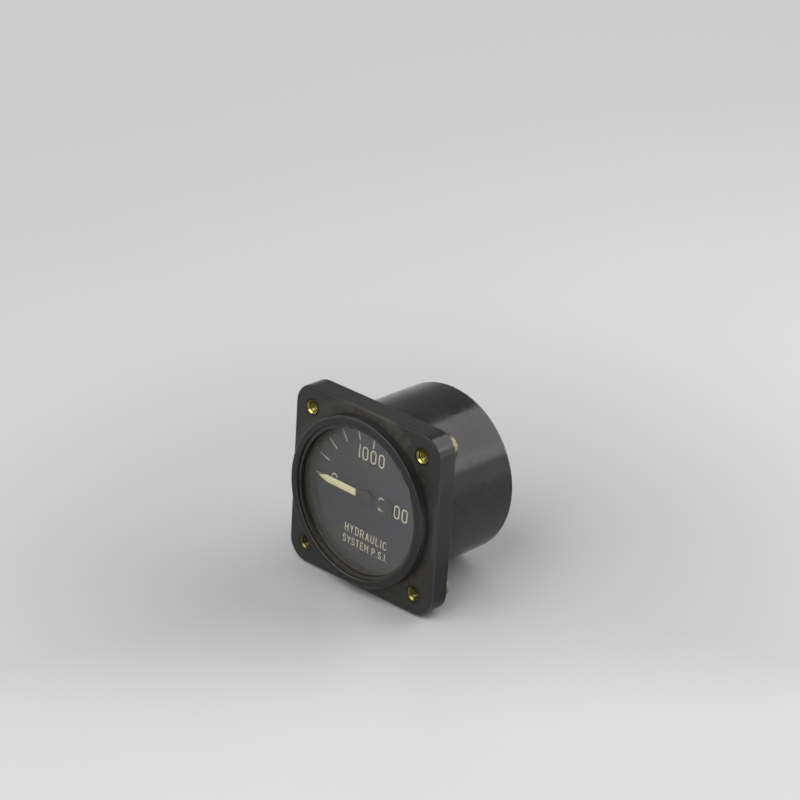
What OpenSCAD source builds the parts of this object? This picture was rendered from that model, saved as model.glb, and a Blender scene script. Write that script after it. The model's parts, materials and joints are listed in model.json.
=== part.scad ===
// Panel pressure gauge with a flanged moulded case, a curved-tube movement and a rear pressure port.
// The origin is the centre of the flange's front face. +X is to the viewer's right, +Y into the case, +Z up.

/* [Flange] */
// Distance between neighbouring mounting holes
mount_spacing = 47.15; // [46.8:0.05:48]
// Distance from a mounting hole's centre to the flange's two nearest edges
mount_margin = 7.075; // [6.7:0.025:8]
// Thickness of the flange
flange_thickness = 7.95; // [6.5:0.05:9]
// Corner radius of the flange, seen from the front
flange_corner_radius = 7.1; // [5:0.1:9]
// Rounding of the flange's front and rear edges
flange_edge_radius = 0.7; // [0.3:0.1:1]

/* [Front rim] */
// Radius of the bore that holds the window and the dial
window_bore_radius = 25.5; // [25.3:0.05:25.7]
// Wall of the rim round the bore
rim_wall = 2.75; // [2.5:0.05:2.8]
// Height of the rim in front of the flange
rim_height = 3.6; // [3.2:0.1:4.5]
// Rounding of the rim's outer front edge
rim_edge_radius = 0.8; // [0.3:0.1:0.9]
// Chamfer of the rim's inner front edge
rim_inner_chamfer = 0.25; // [0.1:0.05:0.3]

/* [Barrel] */
// Width of the ledge between bore and barrel that the dial rests on
dial_ledge = 1.1; // [0.9:0.05:1.3]
// Distance from the flange's front face to the rear face
case_depth = 39.5; // [39:0.5:48]
// Wall thickness of the barrel at its rear edge
barrel_wall = 3.35; // [2.6:0.05:3.4]
// Amount by which the barrel's radius grows from the rear edge to the flange
barrel_draft = 0.2; // [0:0.05:0.3]
// Thickness of the rear wall
rear_wall = 3; // [2.5:0.1:4]
// Rounding of the rear edge
rear_edge_radius = 0.8; // [0.5:0.1:2]

/* [Mounting inserts] */
// Outer radius of the insert's body
insert_radius = 2.75; // [2.6:0.05:3.5]
// Radius of the threaded bore
insert_bore_radius = 1.78; // [1.5:0.02:2.1]
// Radius of the countersunk mouth
insert_mouth_radius = 2.3; // [2.15:0.05:2.5]
// Depth of the countersunk mouth
insert_mouth_depth = 0.5; // [0.3:0.05:1.2]
// Gap between the insert's round head behind the flange and the flange's edges
head_inset = 2.575; // [2.1:0.025:3]
// Thickness of the insert's head
head_thickness = 3.4; // [2.4:0.1:4]

/* [Snap ring] */
// Distance of the ring's front face behind the rim's front face
ring_recess = 0.8; // [0.6:0.1:1]
// Thickness of the ring
ring_thickness = 1; // [0.8:0.1:1.2]
// Distance by which the ring stands in from the bore
ring_stand_in = 1.1; // [0.9:0.1:1.4]
// Depth of the ring's groove in the bore
groove_depth = 0.95; // [0.7:0.05:1.1]
// Radial gap between the ring and the bottom of its groove
groove_gap = 0.15; // [0.1:0.05:0.25]
// Width of the ring's gap
ring_gap = 4; // [2:0.5:8]
// Direction of the ring's gap, seen from the front
ring_gap_angle = 30; // [0:5:90]

/* [Window and dial] */
// Thickness of the cover glass
glass_thickness = 1.6; // [1.2:0.1:2]
// Thickness of the gasket under the glass
gasket_thickness = 0.4; // [0.3:0.1:0.6]
// Width of the gasket
gasket_width = 1.2; // [0.8:0.1:1.4]
// Distance from the gasket to the dial
spacer_height = 3.5; // [3.3:0.1:4.5]
// Thickness of the spacer's inner lip
lip_thickness = 0.7; // [0.5:0.1:1]
// Width of the lip that frames the dial
lip_width = 1.5; // [1.2:0.1:2]
// Thickness of the spacer's tubular wall
spacer_wall = 0.5; // [0.3:0.05:0.6]
// Thickness of the dial
dial_thickness = 0.8; // [0.5:0.1:1.2]
// Radius of the dial's centre hole
dial_hole_radius = 2; // [1.6:0.1:2.4]

/* [Pointer] */
// Direction of the pointer at zero pressure, seen from the front
zero_angle = 178.5; // [150:0.5:200]
// Gap between the dial and the blade
pointer_gap = 0.55; // [0.45:0.05:1]
// Thickness of the blade
blade_thickness = 0.35; // [0.2:0.05:0.5]
// Gap between the blade's tip and the edge of the dial's opening
tip_gap = 1.9; // [0.8:0.1:5]
// Width of the blade
blade_width = 2.9; // [2.4:0.1:3.6]
// Length of the blade's tapered end
blade_taper = 4.1; // [3:0.1:6]
// Distance from the spindle to the centre of the counterweight's disc
tail_length = 8.45; // [7:0.05:10]
// Radius of the counterweight's disc
tail_disc_radius = 2.45; // [1.8:0.05:3]
// Width of the neck between hub and counterweight
neck_width = 2.2; // [1.4:0.1:3]
// Distance from the spindle to the start of the paint
paint_start = 5; // [4:0.1:7]
// Thickness of the paint
paint_thickness = 0.12; // [0.05:0.01:0.2]
// Width of the bare edge round the paint
paint_margin = 0.25; // [0.15:0.05:0.4]
// Radius of the hub's cap
hub_radius = 2.6; // [2.2:0.1:3.5]
// Height of the hub's cap in front of the blade
hub_height = 0.6; // [0.4:0.1:0.9]
// Radius of the hub's tube behind the blade
hub_tube_radius = 1.3; // [1.1:0.05:1.5]

/* [Gears] */
// Gear module
gear_module = 0.3; // [0.29:0.01:0.31]
// Number of leaves on the pinion
pinion_teeth = 12; // [12:1:14]
// Number of teeth that a full wheel of the sector's size would have
sector_teeth = 84; // [80:1:86]
// Sector's turn from zero to the upper stop, in degrees
sector_swing = 27; // [20:0.5:28]
// Width of the pinion's leaves
pinion_width = 1.8; // [1.6:0.1:2.4]
// Thickness of the sector
sector_thickness = 1.2; // [0.8:0.1:1.4]
// Amount by which each tooth is thinner than half the pitch
tooth_thinning = 0.05; // [0.04:0.01:0.08]
// Distance from the sector's spindle to its link screw
tail_arm = 5.6; // [5:0.1:6]
// Radius of the sector's hub
sector_hub_radius = 2.3; // [2:0.1:2.6]
// Width of the sector's toothed rim
sector_rim_width = 2.2; // [1.8:0.1:2.8]
// Width of the sector's tail
sector_tail_width = 2.4; // [2:0.1:2.8]
// Radius of the two stop pins
stop_radius = 0.5; // [0.4:0.05:0.6]
// Distance from the sector's spindle to the stop pins
stop_distance = 9; // [8.5:0.1:9.5]

/* [Movement frame] */
// Distance from the dial to the front plate
plate_setback = 2; // [1.8:0.1:3]
// Thickness of the two plates
plate_thickness = 1.2; // [1:0.1:1.6]
// Space between the two plates
plate_space = 6.7; // [6.7:0.1:8]
// Radius of the round part of the plates
plate_radius = 12.2; // [12:0.1:13]
// Width of the tongue that carries the sector's spindle
tongue_width = 7; // [6:0.5:9]
// Distance from the round edge of the plates to a pillar's centre
pillar_inset = 2.24; // [2.1:0.02:2.6]
// Radius of the pillars
pillar_radius = 1.5; // [1.3:0.1:1.7]
// Radius of the pillar screws' threads
pillar_thread_radius = 0.7; // [0.5:0.05:0.9]
// Radius of the pillar screws' heads
pillar_head_radius = 1.4; // [1.2:0.1:1.7]
// Height of the pillar screws' heads
pillar_head_height = 0.9; // [0.6:0.1:1]

/* [Spindles and hairspring] */
// Radius of the pointer's spindle
spindle_radius = 0.6; // [0.5:0.05:0.8]
// Radius of the pivot at the spindle's rear end
pivot_radius = 0.4; // [0.3:0.05:0.5]
// Radius of the sector's spindle
sector_spindle_radius = 0.9; // [0.7:0.05:1.1]
// Radius of the collet
collet_radius = 1.6; // [1.3:0.1:1.8]
// Length of the collet
collet_length = 1.7; // [1.4:0.1:1.8]
// Number of turns of the hairspring
spring_turns = 4.5; // [3:0.5:5]
// Radius of the hairspring's outermost turn
spring_radius = 4.5; // [4:0.1:4.8]
// Thickness of the hairspring's strip
strip_thickness = 0.15; // [0.1:0.01:0.2]
// Width of the hairspring's strip
strip_width = 0.8; // [0.5:0.1:1]
// Radius of the stud that holds the hairspring's outer end
stud_radius = 0.5; // [0.4:0.05:0.7]

/* [Curved tube] */
// Distance from the tube's centre line to the inside of the barrel
tube_gap = 6.4; // [6:0.1:6.9]
// Width of the flattened tube, along the gauge
tube_width = 6.4; // [5.5:0.1:7]
// Thickness of the flattened tube
tube_thickness = 2.2; // [1.8:0.1:2.4]
// Wall of the tube
tube_wall = 0.3; // [0.2:0.05:0.4]
// Direction of the tube's fixed end, seen from the front
tube_root_angle = -120; // [-125:1:-115]
// Direction of the tube's free end, seen from the front
tube_tip_angle = -50; // [-55:1:-45]
// Distance from the rear plate to the tube
tube_setback = 2.2; // [2:0.1:3]

/* [Link] */
// Distance of the tube-end screw to the right of the centre
tip_screw_x = 8.5; // [8:0.1:9]
// Distance of the tube-end screw below the tube's centre line
tip_screw_outset = 1.9; // [1.5:0.1:2.2]
// Thickness of the link
link_thickness = 0.8; // [0.6:0.1:0.9]
// Radius of the link screws' shanks
link_screw_radius = 0.6; // [0.5:0.05:0.7]
// Radius of the link's two eyes
link_eye_radius = 1.4; // [1.3:0.1:1.6]
// Width of the link between its eyes
link_width = 1.8; // [1.4:0.1:2.2]
// Radius of the link screws' heads
link_head_radius = 1.1; // [0.9:0.1:1.3]
// Height of the link screws' heads
link_head_height = 0.6; // [0.4:0.1:0.7]

/* [Socket and port] */
// Distance across the flats of the hexagon
hex_across_flats = 14.3; // [13:0.1:14.5]
// Length of the port behind the rear face
port_length = 9; // [7:0.5:14]
// Radius of the port's bore
port_bore_radius = 4.3; // [4:0.05:4.6]
// Depth of the port's bore
port_depth = 9.5; // [8:0.5:10]
// Radius of the restrictor screw
restrictor_radius = 1.6; // [1.4:0.1:2]
// Radius of the restrictor's fine hole
orifice_radius = 0.25; // [0.2:0.05:0.4]
// Radius of the socket's base inside the rear wall
base_radius = 15; // [14.5:0.1:16]
// Thickness of the socket's base
base_thickness = 2.5; // [2:0.1:3]
// Thickness of the gasket between base and rear wall
socket_gasket_thickness = 0.5; // [0.4:0.1:0.8]
// Width of the socket's block behind the movement
block_width = 15; // [14:0.5:16]
// Distance from the block's side to a movement screw's centre
block_screw_inset = 1.5; // [1.3:0.1:2]
// Width of the socket's arm that holds the tube
socket_arm_width = 8.4; // [8:0.1:9]
// Distance from the base's edge to a rear screw's centre
rear_screw_inset = 3; // [2.5:0.1:3.2]
// Radius of the rear screws' threads
rear_thread_radius = 1.42; // [1.2:0.02:1.6]
// Radius of the rear screws' heads
rear_head_radius = 2.3; // [2:0.1:2.5]
// Height of the rear screws' heads
rear_head_height = 1.7; // [1.2:0.1:2.2]

/* [Fits] */
// Radial gap between pieces that are fixed to each other
fixed_gap = 0.02; // [0.01:0.01:0.04]
// Radial gap between a pivot and its hole
running_gap = 0.03; // [0.02:0.01:0.05]
// Radial gap of the link's eye on the sector's tail
link_slack = 0.15; // [0.1:0.01:0.2]
// Radial gap round parts that drop into the case
drop_gap = 0.2; // [0.1:0.05:0.3]
// Clearance of a screw in a plain hole
screw_gap = 0.15; // [0.1:0.05:0.3]

/* [Hidden] */
$fn = 64;
quarter = 90;
pressure_angle = 20;
cut_past = 1;

// Small shares and margins
slot_share = 0.25;
slot_depth_share = 0.45;
groove_play = 0.05;
tip_margin_share = 1.9;
hub_edge = 0.2;
hub_clearance = 0.6;
collet_gap = 0.03;
sector_addendum = 0.7;
root_clearance = 0.25;
tooth_foot = 0.1;
stop_gap = 0.06;
stop_proud = 0.2;
boss_margin = 0.15;
boss_gap = 0.1;
boss_proud = 0.4;
hex_face_share = 0.96;
hex_chamfer_slope = 0.58;

// Stations along the gauge, from the front to the rear
rim_front = -rim_height;
ring_front = rim_front + ring_recess;
glass_front = ring_front + ring_thickness;
gasket_front = glass_front + glass_thickness;
spacer_front = gasket_front + gasket_thickness;
dial_front = spacer_front + spacer_height;
dial_back = dial_front + dial_thickness;
front_plate_y = dial_back + plate_setback;
front_plate_back = front_plate_y + plate_thickness;
rear_plate_y = front_plate_back + plate_space;
rear_plate_back = rear_plate_y + plate_thickness;
blade_back = dial_front - pointer_gap;
blade_front = blade_back - blade_thickness;
hub_front = blade_front - hub_height;
spacing_in_plates = 2.8;
sector_front = front_plate_back + spacing_in_plates;
sector_back = sector_front + sector_thickness;
pinion_front = sector_front - (pinion_width - sector_thickness) / 2;
endshake = 0.2;
spindle_shoulder = rear_plate_y - endshake / 2;
pivot_proud = 0.3;
collet_front = front_plate_back + endshake;
strip_front = collet_front + (collet_length - strip_width) / 2;
link_gap = 0.4;
side_gap = 0.2;
link_front = sector_back + link_gap;
link_back = link_front + link_thickness;
tip_screw_grip = 2.5;
tube_front = rear_plate_back + tube_setback;
tube_middle = tube_front + tube_width / 2;
rear_inside = case_depth - rear_wall;
base_back = rear_inside - socket_gasket_thickness;
base_front = base_back - base_thickness;
port_end = case_depth + port_length;
restrictor_length = 5;
restrictor_front = port_end - port_depth - restrictor_length - cut_past;

// Radii that follow from the driving sizes
flange_width = mount_spacing + 2 * mount_margin;
head_radius = mount_margin - head_inset;
rim_radius = window_bore_radius + rim_wall;
cavity_radius = window_bore_radius - dial_ledge;
barrel_radius = cavity_radius + barrel_wall;
groove_radius = window_bore_radius + groove_depth;
ring_outer_radius = groove_radius - groove_gap;
ring_inner_radius = window_bore_radius - ring_stand_in;
window_radius = window_bore_radius - drop_gap;
gasket_inner_radius = window_radius - gasket_width;
lip_inner_radius = window_radius - lip_width;
blade_length = lip_inner_radius - tip_gap;
tube_radius = cavity_radius - tube_gap;
rear_screw_circle = base_radius - rear_screw_inset;
pinion_pitch_radius = gear_module * pinion_teeth / 2;
sector_pitch_radius = gear_module * sector_teeth / 2;
pinion_base_radius = pinion_pitch_radius * cos(pressure_angle);
sector_base_radius = sector_pitch_radius * cos(pressure_angle);
pinion_tip_radius = pinion_pitch_radius + gear_module;
pinion_root_radius = pinion_pitch_radius - (sector_addendum + root_clearance) * gear_module;
sector_tip_radius = sector_pitch_radius + sector_addendum * gear_module;
sector_root_radius = sector_pitch_radius - (1 + root_clearance) * gear_module;
hex_corner_radius = hex_across_flats / sqrt(3);
boss_radius = hex_corner_radius + boss_margin;
boss_end = case_depth + boss_proud;

// Places in the front view, as [to the right, up]
sector_centre = [0, -(pinion_pitch_radius + sector_pitch_radius)];
sector_direction = quarter - sector_swing / 2;
tail_direction = sector_direction + 180;
tail_screw_at = sector_centre + tail_arm * [cos(tail_direction), sin(tail_direction)];
tip_screw_at = [tip_screw_x, -(tube_radius + tip_screw_outset)];
plate_centre = [0, -1];
pillar_places = [for (direction = [90, 185, 355])
    plate_centre + (plate_radius - pillar_inset) * toward(direction)];
movement_screw_places = [for (side = [-1, 1]) [side * (block_width / 2 - block_screw_inset), 4]];
movement_screw_depth = 4;
rear_screw_angles = [90, 210, 330];
arm_direction = tube_root_angle - 5;
cap_direction = tube_tip_angle - 3;

// Toothed arc of the sector
pitch_angle = 360 / sector_teeth;
sector_half = sector_swing / 2 + 1.85 * pitch_angle;
first_tooth = ceil((sector_direction - sector_half - quarter) / pitch_angle - 0.2);
last_tooth = floor((sector_direction + sector_half - quarter) / pitch_angle - 0.8);

// A direction in the front view
function toward(angle) = [cos(angle), sin(angle)];

// How far an involute has turned where its pressure angle has the given value
function involute_turn(angle) = tan(angle) * 180 / PI - angle;

// Half of a tooth's angle at a radius, for teeth on the given pitch and base circles
function half_tooth(radius, pitch_radius, base_radius) =
    (gear_module * PI / 2 - tooth_thinning) / 2 / pitch_radius * 180 / PI
    + involute_turn(pressure_angle)
    - involute_turn(acos(min(1, base_radius / radius)));

// A flat shape drawn as seen from the front, from one station to another
module slab(from, to) {
    translate([0, to, 0])
        rotate([90, 0, 0])
            linear_extrude(to - from)
                children();
}

// A profile of [radius, station] turned about the gauge's axis, clockwise from a start angle
module turned(start = 0, turn = 360) {
    rotate([-90, 0, 0])
        rotate([0, 0, -start])
            rotate_extrude(angle = turn)
                children();
}

// A round rod along the gauge at a place in the front view
module rod(at, radius, from, to) {
    translate([at.x, from, at.y])
        rotate([-90, 0, 0])
            cylinder(r = radius, h = to - from);
}

// A ring profile between two radii and two stations
module ring_profile(inner, outer, from, to) {
    translate([inner, from])
        square([outer - inner, to - from]);
}

// A rectangle with round corners, about its centre
module rounded_rectangle(width, height, radius) {
    square([width - 2 * radius, height], center = true);
    square([width, height - 2 * radius], center = true);
    for (side = [-1, 1], end = [-1, 1])
        translate([side * (width / 2 - radius), end * (height / 2 - radius)])
            circle(radius);
}

// A straight bar between two places in the front view
module bar(from, to, width) {
    run = to - from;
    translate(from)
        rotate(atan2(run.y, run.x))
            translate([0, -width / 2])
                square([norm(run), width]);
}

// A slotted screw head on the given side of its seat, and its shank
module slotted_screw(at, head_radius, head_from, head_to, shank_radius, shank_from, shank_to, slot_at) {
    slot_width = slot_share * head_radius;
    slot_depth = slot_depth_share * (head_to - head_from);
    slot_from = slot_at < (head_from + head_to) / 2 ? head_from - cut_past : head_to - slot_depth;
    slot_to = slot_at < (head_from + head_to) / 2 ? head_from + slot_depth : head_to + cut_past;
    difference() {
        union() {
            rod(at, head_radius, head_from, head_to);
            rod(at, shank_radius, shank_from, shank_to);
        }
        slab(slot_from, slot_to)
            translate(at)
                square([3 * head_radius, slot_width], center = true);
    }
}

// Children at the four mounting holes
module at_mounts() {
    for (side = [-1, 1], end = [-1, 1])
        translate([side * mount_spacing / 2, 0, end * mount_spacing / 2])
            children();
}

// The flange's square slab with its round corners and edges
module flange_body() {
    straight = flange_width - 2 * flange_corner_radius;
    middle = flange_thickness / 2;
    translate([0, middle, 0])
        rotate([90, 0, 90])
            linear_extrude(straight, center = true)
                rounded_rectangle(flange_thickness, flange_width, flange_edge_radius);
    translate([0, middle, 0])
        linear_extrude(straight, center = true)
            rounded_rectangle(flange_width, flange_thickness, flange_edge_radius);
    for (side = [-1, 1], end = [-1, 1])
        translate([side * straight / 2, 0, end * straight / 2])
            turned()
                corner_profile();
}

// Half of a rounded disc, the profile of a flange corner
module corner_profile() {
    edge = flange_edge_radius;
    square([flange_corner_radius - edge, flange_thickness]);
    translate([0, edge])
        square([flange_corner_radius, flange_thickness - 2 * edge]);
    for (station = [edge, flange_thickness - edge])
        translate([flange_corner_radius - edge, station])
            circle(edge);
}

// The outside of the rim and the barrel
module case_profile() {
    rim_inner = rim_radius - rim_edge_radius;
    barrel_inner = barrel_radius - rear_edge_radius;
    ring_profile(0, rim_inner, rim_front, 0);
    ring_profile(0, rim_radius, rim_front + rim_edge_radius, flange_thickness / 2);
    translate([rim_inner, rim_front + rim_edge_radius])
        circle(rim_edge_radius);
    polygon([
        [0, 0],
        [barrel_radius + barrel_draft, 0],
        [barrel_radius, case_depth - rear_edge_radius],
        [0, case_depth - rear_edge_radius]]);
    ring_profile(0, barrel_inner, 0, case_depth);
    translate([barrel_inner, case_depth - rear_edge_radius])
        circle(rear_edge_radius);
}

// The inside of the case: mouth, bore with the ring's groove, ledge for the dial, cavity
module cavity_profile() {
    mouth = window_bore_radius + rim_inner_chamfer;
    polygon([
        [0, rim_front - cut_past],
        [mouth, rim_front - cut_past],
        [mouth, rim_front],
        [window_bore_radius, rim_front + rim_inner_chamfer],
        [window_bore_radius, dial_back],
        [cavity_radius, dial_back],
        [cavity_radius, rear_inside],
        [0, rear_inside]]);
    ring_profile(window_bore_radius - cut_past, groove_radius,
        ring_front - groove_play, glass_front + groove_play);
}

module case() {
    color("#2c2b2a")
        difference() {
            union() {
                flange_body();
                turned() case_profile();
            }
            turned() cavity_profile();
            at_mounts()
                rod([0, 0], insert_radius + fixed_gap, -cut_past, flange_thickness + cut_past);
            rod([0, 0], boss_radius + boss_gap, rear_inside - cut_past, case_depth + cut_past);
            for (angle = rear_screw_angles)
                rod(rear_screw_circle * toward(angle), rear_thread_radius + screw_gap,
                    rear_inside - cut_past, case_depth + cut_past);
        }
}

module mounting_inserts() {
    color("#b8963c")
        at_mounts()
            insert();
}

module insert() {
    length = flange_thickness + head_thickness;
    turned()
        difference() {
            union() {
                ring_profile(0, insert_radius, 0, length);
                ring_profile(0, head_radius, flange_thickness, length);
            }
            ring_profile(0, insert_bore_radius, -cut_past, length + cut_past);
            polygon([
                [0, 0],
                [insert_mouth_radius, 0],
                [insert_bore_radius, insert_mouth_depth],
                [0, insert_mouth_depth]]);
        }
}

module snap_ring() {
    gap_reach = 2 * (groove_radius - ring_inner_radius + cut_past);
    color("#2a2a2c")
        difference() {
            turned() ring_profile(ring_inner_radius, ring_outer_radius, ring_front, glass_front);
            slab(ring_front - cut_past, glass_front + cut_past)
                rotate(ring_gap_angle)
                    translate([window_bore_radius, 0])
                        square([gap_reach, ring_gap], center = true);
        }
}

module cover_glass() {
    color("#cfe0e0", 0.35)
        rod([0, 0], window_radius, glass_front, gasket_front);
}

module glass_gasket() {
    color("#1f1f1f")
        turned() ring_profile(gasket_inner_radius, window_radius, gasket_front, spacer_front);
}

module dial_spacer() {
    color("#2b2822")
        turned() {
            ring_profile(lip_inner_radius, window_radius, spacer_front, spacer_front + lip_thickness);
            ring_profile(window_radius - spacer_wall, window_radius, spacer_front, dial_front);
        }
}

module dial_plate() {
    color("#3a3a3c")
        turned() ring_profile(dial_hole_radius, window_radius, dial_front, dial_back);
}

// Outline of the blade, drawn pointing to the right
module blade_outline(margin) {
    half = blade_width / 2 - margin;
    tip = blade_length - tip_margin_share * margin;
    shoulder = blade_length - blade_taper;
    polygon([[0, -half], [shoulder, -half], [tip, 0], [shoulder, half], [0, half]]);
}

module pointer() {
    color("#1c1c1c")
        slab(blade_front, blade_back)
            rotate(zero_angle)
                difference() {
                    union() {
                        blade_outline(0);
                        circle(hub_radius);
                        bar([-tail_length, 0], [0, 0], neck_width);
                        translate([-tail_length, 0])
                            circle(tail_disc_radius);
                    }
                    circle(hub_tube_radius + fixed_gap);
                }
}

module pointer_paint() {
    color("#d8d68e")
        slab(blade_front - paint_thickness, blade_front)
            rotate(zero_angle)
                intersection() {
                    blade_outline(paint_margin);
                    translate([paint_start, -blade_width])
                        square([blade_length, 2 * blade_width]);
                }
}

module pointer_hub() {
    color("#1c1c1c")
        turned()
            difference() {
                union() {
                    ring_profile(0, hub_radius - hub_edge, hub_front, blade_front);
                    ring_profile(0, hub_radius, hub_front + hub_edge, blade_front);
                    ring_profile(0, hub_tube_radius, hub_front, front_plate_y - hub_clearance);
                }
                ring_profile(0, spindle_radius + fixed_gap, hub_front - cut_past, front_plate_y);
            }
}

// Teeth of a gear, with the first tooth in the given direction
module teeth(numbers, spacing, pitch_radius, base_radius, root_radius, tip_radius) {
    radii = [for (step = [0:5]) let (foot = max(root_radius, base_radius))
        foot + (tip_radius - foot) * step / 5];
    inside = root_radius - tooth_foot;
    right = [for (radius = radii) radius * toward(half_tooth(radius, pitch_radius, base_radius))];
    left = [for (step = [5:-1:0]) [right[step].x, -right[step].y]];
    foot_half = half_tooth(radii[0], pitch_radius, base_radius);
    for (number = numbers)
        rotate(number * spacing)
            polygon(concat([inside * toward(-foot_half)], [inside * toward(foot_half)], right, left));
}

module pinion_spindle() {
    color("#c9c9c6") {
        slab(pinion_front, pinion_front + pinion_width)
            rotate(-quarter) {
                circle(pinion_root_radius);
                teeth([0:pinion_teeth - 1], 360 / pinion_teeth, pinion_pitch_radius,
                    pinion_base_radius, pinion_root_radius, pinion_tip_radius);
            }
        rod([0, 0], spindle_radius, hub_front, spindle_shoulder);
        rod([0, 0], pivot_radius, spindle_shoulder - cut_past, rear_plate_back + pivot_proud);
    }
}

// Centre line of the hairspring, as a radius that grows evenly with the turn
function spring_start() = collet_radius + fixed_gap + strip_thickness / 2;
function spring_point(turn, offset) =
    (spring_start() + (spring_radius - spring_start()) * turn / spring_turns + offset)
    * toward(360 * turn);

module hairspring() {
    steps_per_turn = 20;
    last_step = spring_turns * steps_per_turn;
    half = strip_thickness / 2;
    outer = [for (step = [0:last_step]) spring_point(step / steps_per_turn, half)];
    inner = [for (step = [last_step:-1:0]) spring_point(step / steps_per_turn, -half)];
    color("#9aa0a8")
        slab(strip_front, strip_front + strip_width)
            polygon(concat(outer, inner));
}

module hairspring_collet() {
    color("#b8963c")
        turned() ring_profile(spindle_radius + fixed_gap, collet_radius - collet_gap,
            collet_front, collet_front + collet_length);
}

// Where the stud stands, just past the hairspring's outer end
function stud_at() = spring_point(spring_turns, 0)
    + (stud_radius + fixed_gap) * toward(360 * spring_turns + quarter);

module hairspring_stud() {
    color("#b8963c")
        rod(stud_at(), stud_radius, front_plate_y, collet_front + collet_length);
}

// Outline shared by the two plates of the movement
module plate_outline() {
    translate(plate_centre)
        circle(plate_radius);
    translate(sector_centre) {
        circle(tongue_width / 2);
        translate([-tongue_width / 2, 0])
            square([tongue_width, -sector_centre.y]);
    }
}

module movement_front_plate() {
    color("#bd9c48")
        slab(front_plate_y, front_plate_back)
            difference() {
                plate_outline();
                circle(spindle_radius + running_gap);
                translate(sector_centre) circle(link_screw_radius + running_gap);
                translate(stud_at()) circle(stud_radius + fixed_gap);
                for (place = pillar_places)
                    translate(place) circle(pillar_thread_radius + screw_gap);
            }
}

module movement_rear_plate() {
    color("#bd9c48")
        slab(rear_plate_y, rear_plate_back)
            difference() {
                plate_outline();
                circle(pivot_radius + running_gap);
                translate(sector_centre) circle(link_screw_radius + running_gap);
                for (place = pillar_places)
                    translate(place) circle(pillar_thread_radius + fixed_gap);
                for (place = movement_screw_places)
                    translate(place) circle(pillar_thread_radius + screw_gap);
                for (side = [-1, 1])
                    translate(stop_at(side)) circle(stop_radius + fixed_gap);
            }
}

module movement_pillars() {
    hole_depth = 3.2;
    color("#bd9c48")
        for (place = pillar_places)
            difference() {
                union() {
                    rod(place, pillar_radius, front_plate_back, rear_plate_y);
                    rod(place, pillar_thread_radius, rear_plate_y, rear_plate_back);
                }
                rod(place, pillar_thread_radius + fixed_gap, front_plate_back - cut_past,
                    front_plate_back + hole_depth);
            }
}

module pillar_screws() {
    screw_length = 2.9;
    color("#c9c9c6")
        for (place = pillar_places)
            slotted_screw(place, pillar_head_radius, front_plate_y - pillar_head_height, front_plate_y,
                pillar_thread_radius, front_plate_y, front_plate_back + screw_length,
                front_plate_y - pillar_head_height);
}

module movement_screws() {
    color("#c9c9c6")
        for (place = movement_screw_places)
            slotted_screw(place, pillar_head_radius, rear_plate_y - pillar_head_height, rear_plate_y,
                pillar_thread_radius, rear_plate_y, rear_plate_back + movement_screw_depth,
                rear_plate_y - pillar_head_height);
}

// The two stops meet the sides of the sector at zero and at full travel
function stop_at(side) =
    let (aside = asin((stop_radius + stop_gap) / stop_distance))
    sector_centre + stop_distance
    * toward(quarter + side * (sector_swing / 2 + sector_half + aside));

module sector_stops() {
    color("#c9c9c6")
        for (side = [-1, 1])
            rod(stop_at(side), stop_radius, sector_front - stop_proud, rear_plate_back);
}

// A wedge of the front view about the origin, up to a radius
module wedge(half_angle, radius) {
    reach = radius / cos(half_angle);
    polygon([[0, 0], reach * toward(-half_angle), reach * toward(half_angle)]);
}

module sector_gear() {
    side_arm_turn = 5;
    web = 1.4;
    hub_length = 1.2;
    tail_end_radius = sector_tail_width / 2 + 0.4;
    window_outer = sector_root_radius - sector_rim_width;
    window_inner = sector_hub_radius + web;
    color("#bd9c48") {
        difference() {
            union() {
                slab(sector_front, sector_back)
                    translate(sector_centre) {
                        rotate(sector_direction)
                            intersection() {
                                difference() {
                                    circle(sector_root_radius);
                                    intersection() {
                                        difference() {
                                            circle(window_outer);
                                            circle(window_inner);
                                        }
                                        wedge(sector_half - side_arm_turn, 2 * window_outer);
                                    }
                                }
                                wedge(sector_half, 2 * sector_root_radius);
                            }
                        rotate(quarter + pitch_angle / 2)
                            teeth([first_tooth:last_tooth], pitch_angle, sector_pitch_radius,
                                sector_base_radius, sector_root_radius, sector_tip_radius);
                        circle(sector_hub_radius);
                        bar([0, 0], tail_arm * toward(tail_direction), sector_tail_width);
                        translate(tail_arm * toward(tail_direction))
                            circle(tail_end_radius);
                    }
                rod(sector_centre, sector_hub_radius, sector_front - hub_length, sector_front);
            }
            rod(sector_centre, sector_spindle_radius + fixed_gap,
                sector_front - hub_length - cut_past, sector_back + cut_past);
            rod(tail_screw_at, link_screw_radius + fixed_gap,
                sector_front - cut_past, sector_back + cut_past);
        }
    }
}

module sector_spindle() {
    color("#c9c9c6") {
        rod(sector_centre, sector_spindle_radius, front_plate_back + endshake, rear_plate_y - endshake);
        rod(sector_centre, link_screw_radius, front_plate_y - pivot_proud, rear_plate_back + pivot_proud);
    }
}

module tail_screw() {
    head_from = link_back + side_gap;
    head_to = head_from + link_head_height;
    color("#c9c9c6")
        slotted_screw(tail_screw_at, link_head_radius, head_from, head_to,
            link_screw_radius, sector_front - side_gap, head_from, head_to);
}

module link() {
    color("#bd9c48")
        slab(link_front, link_back)
            difference() {
                union() {
                    bar(tip_screw_at, tail_screw_at, link_width);
                    translate(tip_screw_at) circle(link_eye_radius);
                    translate(tail_screw_at) circle(link_eye_radius);
                }
                translate(tip_screw_at) circle(link_screw_radius + running_gap);
                translate(tail_screw_at) circle(link_screw_radius + link_slack);
            }
}

module tip_screw() {
    head_to = link_front - side_gap;
    head_from = head_to - link_head_height;
    color("#c9c9c6")
        slotted_screw(tip_screw_at, link_head_radius, head_from, head_to,
            link_screw_radius, head_to, link_back + side_gap + tip_screw_grip, head_from);
}

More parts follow.
